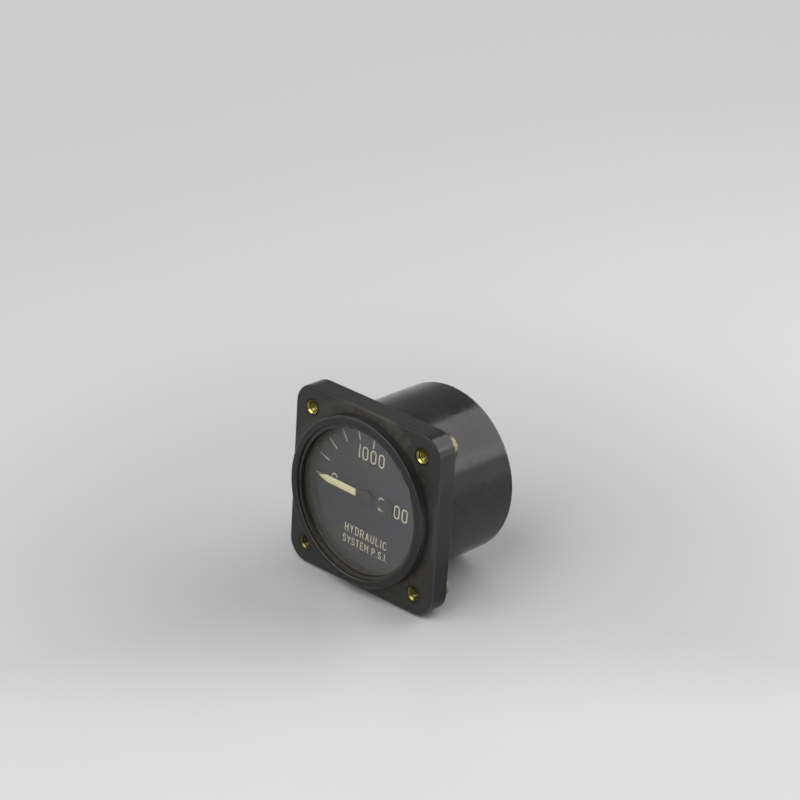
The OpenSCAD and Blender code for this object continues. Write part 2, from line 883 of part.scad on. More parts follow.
// Cross-section of the flattened tube, grown or shrunk by a margin, at its place in a turned profile
module tube_section(margin) {
    round_radius = tube_thickness / 2 + margin;
    flat_half = (tube_width - tube_thickness) / 2;
    translate([tube_radius, tube_middle]) {
        square([2 * round_radius, 2 * flat_half], center = true);
        for (end = [-1, 1])
            translate([0, end * flat_half])
                circle(round_radius);
    }
}

module bourdon_tube() {
    color("#c3a257")
        turned(tube_root_angle, tube_root_angle + 360 - tube_tip_angle)
            difference() {
                tube_section(0);
                tube_section(-tube_wall);
            }
}

module tube_end() {
    cap_wall = 0.9;
    cap_length = 4.6;
    lug_radius = 1.6;
    lug_thickness = 2.4;
    pocket_turn = 12;
    cap_from = tube_front - cap_wall;
    cap_to = tube_front + tube_width + cap_wall;
    cap_centre = tube_radius * toward(cap_direction);
    color("#b8963c")
        difference() {
            union() {
                slab(cap_from, cap_to)
                    translate(cap_centre)
                        rotate(cap_direction)
                            square([2 * tube_thickness, cap_length], center = true);
                slab(cap_from, cap_from + lug_thickness)
                    bar(cap_centre, tip_screw_at, 2 * lug_radius);
                rod(tip_screw_at, lug_radius, link_back + side_gap, cap_from + lug_thickness);
            }
            turned(tube_tip_angle + pocket_turn, pocket_turn)
                tube_section(fixed_gap);
            rod(tip_screw_at, link_screw_radius + fixed_gap,
                link_back - cut_past, link_back + 2 * side_gap + tip_screw_grip);
        }
}

module socket() {
    block_top = 7;
    block_bottom = -5;
    arm_front = tube_front - 1.3;
    arm_reach = tube_radius + 3.4;
    passage_radius = 0.8;
    cross_passage_radius = 0.7;
    cross_passage_angle = tube_root_angle + 2;
    pocket_start = tube_root_angle + 4;
    pocket_turn = 40;
    pivot_relief_radius = 3 * pivot_radius;
    pivot_relief_depth = 3 * pivot_proud;
    hole_past_screw = 0.5;
    color("#b8963c")
        difference() {
            union() {
                slab(rear_plate_back, base_front)
                    translate([-block_width / 2, block_bottom])
                        square([block_width, block_top - block_bottom]);
                slab(arm_front, base_front)
                    bar([0, 0], arm_reach * toward(arm_direction), socket_arm_width);
                rod([0, 0], base_radius, base_front, base_back);
                rod([0, 0], boss_radius, base_back, boss_end);
                intersection() {
                    slab(boss_end, port_end)
                        circle(hex_corner_radius, $fn = 6);
                    turned() hex_profile();
                }
            }
            rod([0, 0], port_bore_radius, port_end - port_depth, port_end + cut_past);
            rod([0, 0], restrictor_radius + fixed_gap, restrictor_front - hole_past_screw, port_end);
            rod([0, 0], passage_radius, tube_middle - cut_past, port_end);
            translate([0, tube_middle, 0])
                rotate([0, quarter - cross_passage_angle, 0])
                    cylinder(r = cross_passage_radius, h = tube_radius);
            turned(pocket_start, pocket_turn)
                tube_section(fixed_gap);
            rod([0, 0], pivot_relief_radius,
                rear_plate_back - cut_past, rear_plate_back + pivot_relief_depth);
            for (place = movement_screw_places)
                rod(place, pillar_thread_radius + fixed_gap, rear_plate_back - cut_past,
                    rear_plate_back + movement_screw_depth + hole_past_screw);
            for (angle = rear_screw_angles)
                rod(rear_screw_circle * toward(angle), rear_thread_radius + fixed_gap,
                    base_front - cut_past, base_back + cut_past);
        }
}

// The hexagon's outside, with its corners turned away at the end
module hex_profile() {
    face_radius = hex_face_share * hex_across_flats / 2;
    reach = hex_corner_radius + cut_past;
    polygon([
        [0, boss_end],
        [reach, boss_end],
        [reach, port_end - hex_chamfer_slope * (reach - face_radius)],
        [face_radius, port_end],
        [0, port_end]]);
}

module restrictor_screw() {
    slot_width = 0.6;
    slot_depth = 0.8;
    restrictor_back = restrictor_front + restrictor_length;
    color("#c9c9c6")
        difference() {
            rod([0, 0], restrictor_radius, restrictor_front, restrictor_back);
            rod([0, 0], orifice_radius, restrictor_front - cut_past, port_end);
            slab(restrictor_back - slot_depth, port_end)
                square([4 * restrictor_radius, slot_width], center = true);
        }
}

module socket_gasket() {
    color("#3c3a35")
        slab(base_back, rear_inside)
            difference() {
                circle(base_radius);
                circle(boss_radius + boss_gap);
                for (angle = rear_screw_angles)
                    translate(rear_screw_circle * toward(angle))
                        circle(rear_thread_radius + screw_gap);
            }
}

module socket_screws() {
    color("#b8963c")
        for (angle = rear_screw_angles)
            slotted_screw(rear_screw_circle * toward(angle), rear_head_radius,
                case_depth, case_depth + rear_head_height,
                rear_thread_radius, base_front, case_depth, case_depth + rear_head_height);
}

case();
mounting_inserts();
snap_ring();
cover_glass();
glass_gasket();
dial_spacer();
dial_plate();
pointer();
pointer_paint();
pointer_hub();
pinion_spindle();
hairspring();
hairspring_collet();
hairspring_stud();
movement_front_plate();
movement_rear_plate();
movement_pillars();
pillar_screws();
movement_screws();
sector_stops();
sector_gear();
sector_spindle();
tail_screw();
link();
tip_screw();
tube_end();
bourdon_tube();
socket();
restrictor_screw();
socket_gasket();
socket_screws();
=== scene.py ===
import json
import math

import bpy
from mathutils import Euler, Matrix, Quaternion, Vector
from mathutils import noise as solid_noise


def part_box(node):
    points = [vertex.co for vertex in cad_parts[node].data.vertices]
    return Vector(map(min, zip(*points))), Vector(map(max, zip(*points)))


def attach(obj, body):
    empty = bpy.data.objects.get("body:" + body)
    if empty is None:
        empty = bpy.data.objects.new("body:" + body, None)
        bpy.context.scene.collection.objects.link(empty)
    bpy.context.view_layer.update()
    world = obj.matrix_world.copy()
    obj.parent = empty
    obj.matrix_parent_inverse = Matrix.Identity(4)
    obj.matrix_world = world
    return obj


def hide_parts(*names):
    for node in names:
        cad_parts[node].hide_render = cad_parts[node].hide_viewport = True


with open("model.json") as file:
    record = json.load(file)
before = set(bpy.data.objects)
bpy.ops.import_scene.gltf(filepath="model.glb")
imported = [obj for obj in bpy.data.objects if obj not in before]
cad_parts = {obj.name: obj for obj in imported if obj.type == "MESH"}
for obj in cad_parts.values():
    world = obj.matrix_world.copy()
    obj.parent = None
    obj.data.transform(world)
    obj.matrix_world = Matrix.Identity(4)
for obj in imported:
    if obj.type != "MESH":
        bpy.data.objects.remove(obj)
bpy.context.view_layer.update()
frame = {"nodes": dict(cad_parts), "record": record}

MM = 0.001


# Places taken from the frame

def mount_size(name, size):
    """A size of the record's mount of that name."""
    mounts = frame["record"]["mounts"]
    return next(m for m in mounts if m["name"] == name)["dims"][size] * MM


def points_of(node):
    """The corners of a CAD node's mesh."""
    return [vertex.co.copy() for vertex in frame["nodes"][node].data.vertices]


rim_radius = mount_size("panel_rim", "r_mm")
hole_offset = mount_size("panel_bolts", "spacing_x_mm") / 2
insert_bore = mount_size("panel_bolts", "hole_r_mm")
port_bore = mount_size("pressure_port", "r_mm")
port_bore_length = mount_size("pressure_port", "length_mm")

flange_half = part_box("case")[1].x
rim_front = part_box("case")[0].y
case_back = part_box("case")[1].y
spacer_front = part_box("dial_spacer")[0].y
dial_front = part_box("dial_plate")[0].y
inserts_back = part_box("mounting_inserts")[1].y
socket_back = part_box("socket")[1].y

# Sizes of the solids that no mount or box gives
window_bore = 25.5 * MM
flange_corner = 7.1 * MM
flange_thickness = 7.95 * MM
insert_mouth = 2.3 * MM
insert_mouth_depth = 0.5 * MM


# Nodes

class Nodes:
    """Short calls that add nodes to a tree and link them."""

    def __init__(self, tree):
        self.tree = tree

    def add(self, kind, **settings):
        """A new node of that kind with those settings."""
        node = self.tree.nodes.new(kind)
        for name, value in settings.items():
            setattr(node, name, value)
        return node

    def put(self, socket, value):
        """Links an output to a socket, or sets the socket to a constant."""
        if isinstance(value, bpy.types.NodeSocket):
            self.tree.links.new(value, socket)
        elif socket.type == "RGBA":
            socket.default_value = (*value, 1.0)
        else:
            socket.default_value = value

    def math(self, operation, a, b=0.0):
        """The result of one operation on two numbers, or on the first alone."""
        node = self.add("ShaderNodeMath", operation=operation)
        self.put(node.inputs[0], a)
        self.put(node.inputs[1], b)
        return node.outputs[0]

    def times(self, *values):
        """The product of all the values."""
        product = values[0]
        for value in values[1:]:
            product = self.math("MULTIPLY", product, value)
        return product

    def dot(self, a, b):
        """The dot product: how far a reaches along b."""
        node = self.add("ShaderNodeVectorMath", operation="DOT_PRODUCT")
        self.put(node.inputs[0], a)
        self.put(node.inputs[1], b)
        return node.outputs["Value"]

    def either(self, a, b):
        """The larger of two values: where one mask or the other is."""
        return self.math("MAXIMUM", a, b)

    def diagonal(self, a, b):
        """Length of the diagonal of a rectangle with sides a and b."""
        return self.math("SQRT", self.math("ADD", self.times(a, a), self.times(b, b)))

    def axes(self, a):
        """The x, y and z parts of a vector."""
        node = self.add("ShaderNodeSeparateXYZ")
        self.put(node.inputs[0], a)
        return node.outputs

    def fade(self, value, start, end, low=0.0, high=1.0):
        """Goes smoothly from low to high as value goes from start to end."""
        node = self.add("ShaderNodeMapRange", interpolation_type="SMOOTHSTEP")
        settings = {"Value": value, "From Min": start, "From Max": end, "To Min": low, "To Max": high}
        for name, number in settings.items():
            self.put(node.inputs[name], number)
        return node.outputs[0]

    def mix(self, share, a, b):
        """Goes from colour a to colour b as share goes from 0 to 1."""
        node = self.add("ShaderNodeMix", data_type="RGBA")
        first, second = [socket for socket in node.inputs if socket.type == "RGBA"]
        self.put(node.inputs["Factor"], share)
        self.put(first, a)
        self.put(second, b)
        return next(socket for socket in node.outputs if socket.type == "RGBA")


class Finish(Nodes):
    """One material, with patterns placed by the object's own coordinates."""

    def __init__(self, name):
        self.material = bpy.data.materials.new(name)
        self.material.use_nodes = True
        super().__init__(self.material.node_tree)
        self.shader = self.tree.nodes["Principled BSDF"]
        self.output = self.tree.nodes["Material Output"]
        self.surface = self.shader.outputs[0]
        self.place = self.add("ShaderNodeTexCoord").outputs["Object"]

    def set(self, **values):
        """Sets the shader's inputs, with an underscore for a space."""
        for name, value in values.items():
            self.put(self.shader.inputs[name.replace("_", " ")], value)

    def noise(self, size, detail=3.0, roughness=0.55, stretch=(1, 1, 1), shift=(0, 0, 0)):
        """Noise from 0 to 1 whose features are about size across."""
        mapping = self.add("ShaderNodeMapping")
        self.put(mapping.inputs["Vector"], self.place)
        mapping.inputs["Scale"].default_value = stretch
        mapping.inputs["Location"].default_value = shift
        node = self.add("ShaderNodeTexNoise")
        self.put(node.inputs["Vector"], mapping.outputs[0])
        node.inputs["Scale"].default_value = 1 / size
        node.inputs["Detail"].default_value = detail
        node.inputs["Roughness"].default_value = roughness
        return node.outputs["Fac"]

    def cells(self, size):
        """Distance to the nearest of many scattered points, in units of size."""
        node = self.add("ShaderNodeTexVoronoi")
        self.put(node.inputs["Vector"], self.place)
        node.inputs["Scale"].default_value = 1 / size
        return node.outputs["Distance"]

    def past(self, offset):
        """How far a place lies past an offset, to either side of the centre and above or below it."""
        aside, _, above = self.axes(self.place)
        return [self.math("SUBTRACT", self.math("ABSOLUTE", part), offset) for part in (aside, above)]

    def from_axis(self):
        """Distance from the gauge's centre line."""
        return self.diagonal(*self.past(0.0))

    def from_mount(self):
        """Distance from the nearest mounting hole's centre line."""
        return self.diagonal(*self.past(hole_offset))

    def in_from_flange(self):
        """Distance in from the flange's round-cornered outline."""
        aside, above = [self.either(part, 0.0) for part in self.past(flange_half - flange_corner)]
        return self.math("SUBTRACT", flange_corner, self.diagonal(aside, above))

    def roughen(self, low, high, size, detail=4):
        """Roughness that wanders from low to high in patches about size across."""
        self.set(Roughness=self.fade(self.noise(size, detail=detail), 0.3, 0.7, low, high))

    def bump(self, height, distance):
        """Relief on the surface: distance is its height where the pattern goes from 0 to 1."""
        node = self.add("ShaderNodeBump")
        node.inputs["Distance"].default_value = distance
        self.put(node.inputs["Height"], height)
        self.put(self.shader.inputs["Normal"], node.outputs[0])

    def let_lamps_through(self):
        """Makes the surface clear to shadow rays only."""
        clear = self.add("ShaderNodeBsdfTransparent")
        path = self.add("ShaderNodeLightPath")
        self.blend_shaders(path.outputs["Is Shadow Ray"], clear)

    def blend_shaders(self, share, other):
        """Goes from the surface so far to another shader as share goes from 0 to 1."""
        mix = self.add("ShaderNodeMixShader")
        self.put(mix.inputs[0], share)
        self.put(mix.inputs[1], self.surface)
        self.put(mix.inputs[2], other.outputs[0])
        self.surface = mix.outputs[0]
        self.put(self.output.inputs["Surface"], self.surface)


# Finishes

def on_face(f):
    """1 on the flange's front face and 0 away from it."""
    y = f.axes(f.place)[1]
    return f.times(f.fade(y, -0.6 * MM, -0.2 * MM), f.fade(y, 0.9 * MM, 0.3 * MM))


def round_the_rim(f, start, end):
    """Fades in on the flange's face, from one distance outside the rim's wall to another."""
    return f.times(on_face(f), f.fade(f.from_axis(), rim_radius + start, rim_radius + end))


def add_film(f, colour):
    """A grey film round the rim and on its wall: the new colour, and the film's share."""
    y = f.axes(f.place)[1]
    on_wall = f.times(f.fade(f.from_axis(), rim_radius - 0.3 * MM, rim_radius - 0.1 * MM),
                      f.fade(y, rim_front + 0.8 * MM, rim_front + 1.6 * MM),
                      f.fade(y, 0.5 * MM, 0.2 * MM))
    near_rim = round_the_rim(f, 5.5 * MM, 2.5 * MM)
    uneven = f.fade(f.noise(2 * MM, detail=5), 0.3, 0.6, 0.6, 1.0)
    film = f.times(f.either(near_rim, on_wall), uneven)
    return f.mix(film, colour, (0.0240, 0.0238, 0.0225)), film


def add_dust_and_light(f, colour):
    """Dust round the rim, and painted light beside it at the right: the new colour, and the share of the
    patches.

    It is pale olive over the top, brown at the lower right and olive in patches; the grey at the right is
    partly dust and partly painted light that lifts the shade of the rim."""
    x, _, z = f.axes(f.place)
    to_the_top = f.dot(f.place, (-0.6, 0.0, 0.8))
    to_lower_right = f.dot(f.place, (0.55, 0.0, -0.83))
    pale_olive = (0.066, 0.064, 0.052)
    grey = (0.040, 0.039, 0.036)
    brown = (0.058, 0.045, 0.024)
    olive = (0.062, 0.056, 0.037)

    band = f.times(round_the_rim(f, 5.5 * MM, 3.0 * MM),
                   f.fade(to_the_top, 0.0, 12 * MM),
                   f.fade(x, -18 * MM, 14 * MM, 0.4, 1.0),
                   f.fade(f.noise(3.5 * MM, detail=5), 0.36, 0.58, 0.25, 1.0))
    # Painted light: the grey strip right of the rim lifts the shade the rim casts on the face there; it is
    # partly grey dust.
    grey_dust_and_light = f.times(round_the_rim(f, 5.5 * MM, 2.5 * MM),
                    f.fade(x, 14 * MM, 20 * MM),
                    f.fade(z, 14 * MM, 6 * MM),
                    f.fade(z, -14 * MM, -4 * MM))
    smear = f.times(round_the_rim(f, 5.0 * MM, 1.0 * MM),
                    f.fade(to_lower_right, 23 * MM, 28 * MM),
                    f.fade(f.noise(2.5 * MM, detail=5), 0.38, 0.60, 0.15, 1.0))
    patches = f.times(round_the_rim(f, 5.5 * MM, 1.0 * MM),
                      f.fade(f.noise(6 * MM, detail=5, roughness=0.65), 0.46, 0.62),
                      f.fade(x, -26 * MM, -14 * MM, 0.25, 1.0),
                      f.fade(to_the_top, -4 * MM, 8 * MM, 0.25, 1.0))
    colour = f.mix(f.times(band, 0.9), colour, pale_olive)
    colour = f.mix(grey_dust_and_light, colour, grey)
    colour = f.mix(f.times(smear, 0.8), colour, brown)
    return f.mix(f.times(patches, 0.8), colour, olive), patches


def add_dirt_and_gap_shade(f, colour):
    """A near-black ring on the face round each insert, partly dirt and partly painted shade of the gap
    beside it: the new colour, and its share.
    """
    # Painted shade with dirt: the ring darkens the face where the gap round the insert lies in shade.
    dirt = f.times(on_face(f), f.fade(f.from_mount(), 3.3 * MM, 2.9 * MM))
    return f.mix(f.times(dirt, 0.8), colour, (0.006, 0.005, 0.004)), dirt


def rub_and_light_edges(f, colour):
    """Pale lines on the rubbed edges, and painted highlights on the rim's top edge and the barrel's rear
    edge: the new colour, and the share of the edges that are dull.
    """
    _, y, z = f.axes(f.place)
    radius = f.from_axis()
    to_the_top = f.dot(f.place, (-0.4, 0.0, 0.92))
    to_lower_left = f.dot(f.place, (-0.5, 0.0, -0.87))
    pale = (0.056, 0.053, 0.055)
    dim = (0.046, 0.043, 0.046)
    bluish = (0.056, 0.054, 0.058)
    highlight_white = (0.125, 0.125, 0.128)
    sandy = (0.080, 0.072, 0.053)

    rubbed = f.fade(f.noise(3 * MM, detail=4, roughness=0.7), 0.35, 0.6, 0.3, 1.0)
    rim_line = f.times(f.fade(radius, rim_radius - 0.5 * MM, rim_radius - 0.35 * MM),
                       f.fade(y, rim_front + 0.5 * MM, rim_front + 0.35 * MM))
    # Painted highlight: a soft pale band on the rim's rounded top edge, where the rounding would catch the
    # light.
    rim_top_highlight = f.times(f.fade(radius, rim_radius - 1.0 * MM, rim_radius - 0.5 * MM),
                      f.fade(y, rim_front + 1.0 * MM, rim_front + 0.5 * MM),
                      f.fade(to_the_top, 21 * MM, 27 * MM))
    flange_line = f.times(f.fade(f.in_from_flange(), 0.4 * MM, 0.25 * MM),
                          f.fade(y, 0.4 * MM, 0.25 * MM))
    # Painted highlight: a near-white line along the upper part of the barrel's rear edge, standing for light
    # caught by its rounding.
    rear_edge_highlight = f.times(f.fade(y, case_back - 1.0 * MM, case_back - 0.5 * MM),
                        f.fade(z, 5 * MM, 12 * MM))
    mouth_line = f.times(f.fade(radius, window_bore + 0.35 * MM, window_bore + 0.2 * MM),
                         f.fade(y, rim_front + 0.4 * MM, rim_front + 0.25 * MM))
    flange_back = f.times(f.fade(f.in_from_flange(), 0.9 * MM, 0.6 * MM),
                          f.fade(y, flange_thickness - 0.9 * MM, flange_thickness - 0.6 * MM))

    colour = f.mix(f.times(rim_line, rubbed, f.fade(z, -14 * MM, 2 * MM), 0.7), colour, pale)
    colour = f.mix(f.times(rim_top_highlight, rubbed, 0.8), colour, dim)
    colour = f.mix(f.times(flange_line, rubbed, 0.3), colour, bluish)
    colour = f.mix(rear_edge_highlight, colour, highlight_white)
    colour = f.mix(f.times(mouth_line, rubbed, f.fade(to_lower_left, 8 * MM, 20 * MM), 0.7), colour, sandy)
    return colour, f.either(f.either(rim_line, mouth_line), flange_back)


def add_marks(f, colour):
    """Pale specks in some places, and fine scratches along the gauge."""
    speck = f.fade(f.cells(2.6 * MM), 0.06, 0.02)
    some = f.fade(f.noise(5 * MM, detail=1, shift=(0.3, 0.1, 0.2)), 0.56, 0.60)
    scratch = f.fade(f.noise(0.5 * MM, detail=2, stretch=(1, 0.3, 1), shift=(0.7, 0.2, 0.4)), 0.70, 0.80)
    marks = f.either(f.times(speck, some), scratch)
    return f.mix(f.times(marks, 0.7), colour, (0.17, 0.17, 0.165))


def moulding_specular(f):
    """Full on the flange, less behind it except on the very top, and least low down."""
    _, y, z = f.axes(f.place)
    behind_face = f.fade(y, MM, 2 * MM)
    below_top = f.times(behind_face, f.fade(z, 22 * MM, 8 * MM))
    low = f.times(behind_face, f.fade(z, -4 * MM, -16 * MM))
    return f.math("SUBTRACT", f.fade(below_top, 0.0, 1.0, 0.35, 0.25), f.times(low, 0.1))


def moulding():
    """Black semi-gloss moulding, dusty round the rim, with rubbed and dull edges, scratches and specks,
    painted highlights on the rim's top edge and the barrel's rear edge, painted light beside the rim at the
    right, and near-black rings round the inserts that are partly dirt and partly painted shade.
    """
    f = Finish("moulding")
    black = (0.0105, 0.0103, 0.0116)
    faded = (0.0158, 0.0154, 0.0160)
    colour = f.mix(f.fade(f.noise(9 * MM, detail=4), 0.35, 0.65), black, faded)
    colour, film = add_film(f, colour)
    colour, dust = add_dust_and_light(f, colour)
    colour, dirt = add_dirt_and_gap_shade(f, colour)
    colour, dull_edges = rub_and_light_edges(f, colour)
    colour = add_marks(f, colour)
    f.set(Base_Color=colour, Specular_IOR_Level=moulding_specular(f))

    gloss = f.fade(f.noise(4 * MM, detail=6, roughness=0.7), 0.3, 0.7, 0.11, 0.25)
    dusty = f.times(f.either(f.either(film, dust), dirt), 0.35)
    f.set(Roughness=f.math("ADD", gloss, f.math("ADD", dusty, f.times(dull_edges, 0.3))))
    grain = f.times(f.noise(0.6 * MM, detail=4, roughness=0.6), 0.2)
    f.bump(f.math("ADD", f.noise(7 * MM, detail=2), grain), distance=0.02 * MM)
    return f.material


def brass(name, clean, tarnished, share):
    """Brass whose tarnished part covers about that share of it."""
    f = Finish(name)
    middle = 0.70 - 0.3 * share
    stain = f.fade(f.noise(1.6 * MM, detail=5, roughness=0.65), middle - 0.08, middle + 0.08)
    f.set(Base_Color=f.mix(stain, clean, tarnished))
    f.set(Metallic=1.0)
    f.roughen(0.20, 0.38, size=0.7 * MM)
    f.bump(f.noise(0.25 * MM, detail=3), distance=0.004 * MM)
    return f.material


def mount_brass():
    """Brass inserts with a brown face, bright countersink, olive bore and dull head behind the flange.

    The lower two are darker, and the upper left part of each countersink is darkened with painted shade."""
    f = Finish("mount_brass")
    x, y, z = f.axes(f.place)
    radius = f.from_mount()
    aside, above = [f.math("SUBTRACT", part, f.times(f.math("SIGN", part), hole_offset)) for part in (x, z)]
    # Painted shade: the upper left of each countersink is darkened, so that its lower right stays bright.
    shaded_upper_left = f.fade(f.math("SUBTRACT", f.times(above, 0.4), aside), 0.0, 2.0 * MM)
    low = f.fade(f.dot(f.place, (-0.3, 0.0, -0.95)), 5 * MM, 26 * MM)
    stain = f.fade(f.noise(0.9 * MM, detail=5, roughness=0.65), 0.42, 0.62)
    edge = 0.05 * MM
    face = f.times(f.fade(radius, insert_mouth - edge, insert_mouth + edge), f.fade(y, edge, 0.0))
    bore = f.times(f.fade(radius, insert_bore + 2 * edge, insert_bore + edge),
                   f.fade(y, insert_mouth_depth, insert_mouth_depth + edge))
    head = f.fade(y, flange_thickness - edge, flange_thickness)
    upper_inserts = f.fade(z, -MM, MM)
    tarnished = f.either(f.fade(above, 1.0 * MM, -0.8 * MM), f.fade(above, 3.2 * MM, 4.4 * MM, 0.0, 0.6))

    bright = f.mix(stain, (0.62, 0.54, 0.20), (0.40, 0.34, 0.10))
    brown = f.mix(stain, (0.050, 0.040, 0.022), (0.028, 0.024, 0.015))
    olive = f.mix(stain, (0.42, 0.37, 0.11), (0.24, 0.21, 0.06))
    dull = f.mix(stain, (0.29, 0.265, 0.16), (0.19, 0.17, 0.095))
    colour = f.mix(f.times(shaded_upper_left, 0.8), bright, (0.20, 0.165, 0.055))
    colour = f.mix(face, colour, brown)
    colour = f.mix(bore, colour, olive)
    colour = f.mix(f.times(low, 0.85), colour, (0.070, 0.061, 0.034))
    colour = f.mix(head, colour, dull)
    colour = f.mix(f.times(head, tarnished, upper_inserts, 0.9), colour, (0.055, 0.045, 0.028))
    f.set(Base_Color=colour)
    f.set(Metallic=1.0)
    rough = f.fade(f.noise(0.7 * MM, detail=4), 0.3, 0.7, 0.18, 0.32)
    f.set(Roughness=f.math("ADD", rough, f.times(f.either(face, head), 0.25)))
    f.bump(f.noise(0.25 * MM, detail=3), distance=0.004 * MM)
    return f.material


def dark_ring():
    """Black finished steel with small worn spots and olive-brown dust."""
    f = Finish("ring_black")
    worn = f.fade(f.noise(0.6 * MM, detail=5, roughness=0.7), 0.62, 0.70)
    brown = f.fade(f.noise(3 * MM, detail=3), 0.40, 0.65)
    dark = f.mix(brown, (0.013, 0.013, 0.012), (0.029, 0.026, 0.018))
    low = f.fade(f.axes(f.place)[2], -5 * MM, -18 * MM, 0.0, 0.25)
    dark = f.mix(low, dark, (0.050, 0.045, 0.031))
    f.set(Base_Color=f.mix(f.times(worn, 0.8), dark, (0.20, 0.19, 0.15)))
    f.roughen(0.28, 0.45, size=1.1 * MM)
    f.bump(f.noise(0.35 * MM, detail=4), distance=0.008 * MM)
    return f.material


def dark_spacer():
    """Black paint on the ring that frames the dial, with olive-brown dust on its front, made lighter there
    as painted light that lifts the shade of the rim.
    """
    f = Finish("spacer_black")
    y = f.math("SUBTRACT", f.axes(f.place)[1], spacer_front)
    brown = f.fade(f.noise(2.5 * MM, detail=5, roughness=0.65), 0.36, 0.62)
    # Partly dust and partly painted light: the front is lighter to lift the shade the rim casts on it.
    dusty = f.mix(brown, (0.026, 0.024, 0.017), (0.060, 0.053, 0.036))
    f.set(Base_Color=f.mix(f.fade(y, 0.05 * MM, 0.2 * MM), dusty, (0.018, 0.016, 0.011)))
    f.set(Specular_IOR_Level=0.1)
    f.roughen(0.65, 0.8, size=1.2 * MM)
    f.bump(f.noise(0.4 * MM, detail=4), distance=0.010 * MM)
    return f.material


def dial_paint():
    """Matt dark grey paint, blotchy, with painted reflection that makes it paler to the right and low down,
    brown with dirt at its edge, and darker round its edge above the bottom, partly dirt and partly painted
    shade from the rim.
    """
    f = Finish("dial_grey")
    x, _, z = f.axes(f.place)
    radius = f.from_axis()
    blotch = f.fade(f.noise(8 * MM, detail=5, roughness=0.6), 0.3, 0.7)
    dirt = f.times(f.fade(radius, 20.5 * MM, 24 * MM), f.fade(x, 8 * MM, -8 * MM),
                   f.fade(f.noise(4 * MM, detail=4), 0.35, 0.6))
    edge = f.times(f.fade(radius, 21.5 * MM, 24 * MM), f.fade(z, -16 * MM, -8 * MM))
    colour = f.mix(blotch, (0.0090, 0.0088, 0.0112), (0.0145, 0.0142, 0.0168))
    # Painted reflection: paler to the right and low down, as the glass over it would reflect more light
    # there.
    colour = f.mix(f.fade(x, -10 * MM, 22 * MM), colour, (0.0290, 0.0288, 0.0345))
    colour = f.mix(f.fade(z, -6 * MM, -22 * MM), colour, (0.0370, 0.0365, 0.0370))
    colour = f.mix(dirt, colour, (0.020, 0.018, 0.011))
    # Darker round the edge except at the bottom: partly dirt and partly painted shade from the rim.
    f.set(Base_Color=f.mix(edge, colour, (0.0085, 0.0075, 0.0045)))
    f.set(Specular_IOR_Level=f.fade(edge, 0.0, 1.0, 0.5, 0.1))
    f.roughen(0.55, 0.7, size=2 * MM)
    f.bump(f.noise(0.5 * MM, detail=3), distance=0.001 * MM)
    return f.material


def pointer_paint():
    """Semi-matt black paint on the pointer."""
    f = Finish("pointer_black")
    f.set(Base_Color=f.mix(f.noise(1.5 * MM, detail=4), (0.007, 0.007, 0.007), (0.018, 0.017, 0.015)))
    f.roughen(0.36, 0.55, size=0.6 * MM, detail=3)
    f.bump(f.noise(0.3 * MM, detail=3), distance=0.003 * MM)
    return f.material


def luminous():
    """Aged luminous paint: pale yellow, a little browner in places, grainy."""
    f = Finish("luminous_paint")
    aged = f.fade(f.noise(1.8 * MM, detail=4, roughness=0.6), 0.45, 0.75)
    fine = f.fade(f.noise(0.35 * MM, detail=3), 0.35, 0.7)
    pale = f.mix(fine, (0.66, 0.63, 0.375), (0.60, 0.57, 0.335))
    f.set(Base_Color=f.mix(aged, pale, (0.54, 0.49, 0.26)))
    f.set(Roughness=f.fade(fine, 0.0, 1.0, 0.6, 0.75))
    f.bump(f.noise(0.25 * MM, detail=4), distance=0.010 * MM)
    return f.material


def print_cream():
    """Printed cream paint, a little worn and thin in places, dirty near the dial's edge."""
    f = Finish("print_cream")
    thin = f.fade(f.noise(0.6 * MM, detail=4, roughness=0.7), 0.46, 0.72)
    colour = f.mix(thin, (0.60, 0.545, 0.395), (0.38, 0.34, 0.235))
    dirt = f.fade(f.from_axis(), 20.5 * MM, 23.5 * MM, 0.0, 0.75)
    f.set(Base_Color=f.mix(dirt, colour, (0.075, 0.066, 0.045)))
    f.set(Roughness=f.fade(thin, 0.0, 1.0, 0.6, 0.72))
    f.bump(f.noise(0.15 * MM, detail=3), distance=0.004 * MM)
    return f.material


def steel(name, tone, rough):
    """Turned steel with faint stains."""
    f = Finish(name)
    stain = f.fade(f.noise(1.2 * MM, detail=4), 0.45, 0.75)
    dull = tuple(0.55 * part for part in tone)
    f.set(Base_Color=f.mix(stain, tone, dull))
    f.set(Metallic=1.0)
    f.roughen(rough - 0.08, rough + 0.1, size=0.5 * MM)
    f.bump(f.noise(0.2 * MM, detail=3), distance=0.004 * MM)
    return f.material


def spindle_steel():
    """Steel that is painted black where it stands in front of the dial."""
    f = Finish("spindle_steel")
    y = f.axes(f.place)[1]
    painted = f.fade(y, dial_front + 0.3 * MM, dial_front)
    bare = f.mix(f.noise(0.6 * MM), (0.46, 0.46, 0.47), (0.58, 0.58, 0.58))
    f.set(Base_Color=f.mix(painted, bare, (0.010, 0.010, 0.010)))
    f.set(Metallic=f.fade(painted, 0.0, 1.0, 1.0, 0.0))
    f.roughen(0.28, 0.42, size=0.5 * MM)
    f.bump(f.noise(0.2 * MM, detail=3), distance=0.003 * MM)
    return f.material


def fibre(name):
    """Dark brown pressed fibre, paler with dust."""
    f = Finish(name)
    strands = f.noise(0.5 * MM, detail=5, roughness=0.7, stretch=(1, 1, 0.35))
    f.set(Base_Color=f.mix(strands, (0.030, 0.027, 0.020), (0.060, 0.053, 0.039)))
    f.set(Roughness=f.fade(strands, 0.2, 0.8, 0.7, 0.85))
    f.bump(strands, distance=0.03 * MM)
    return f.material


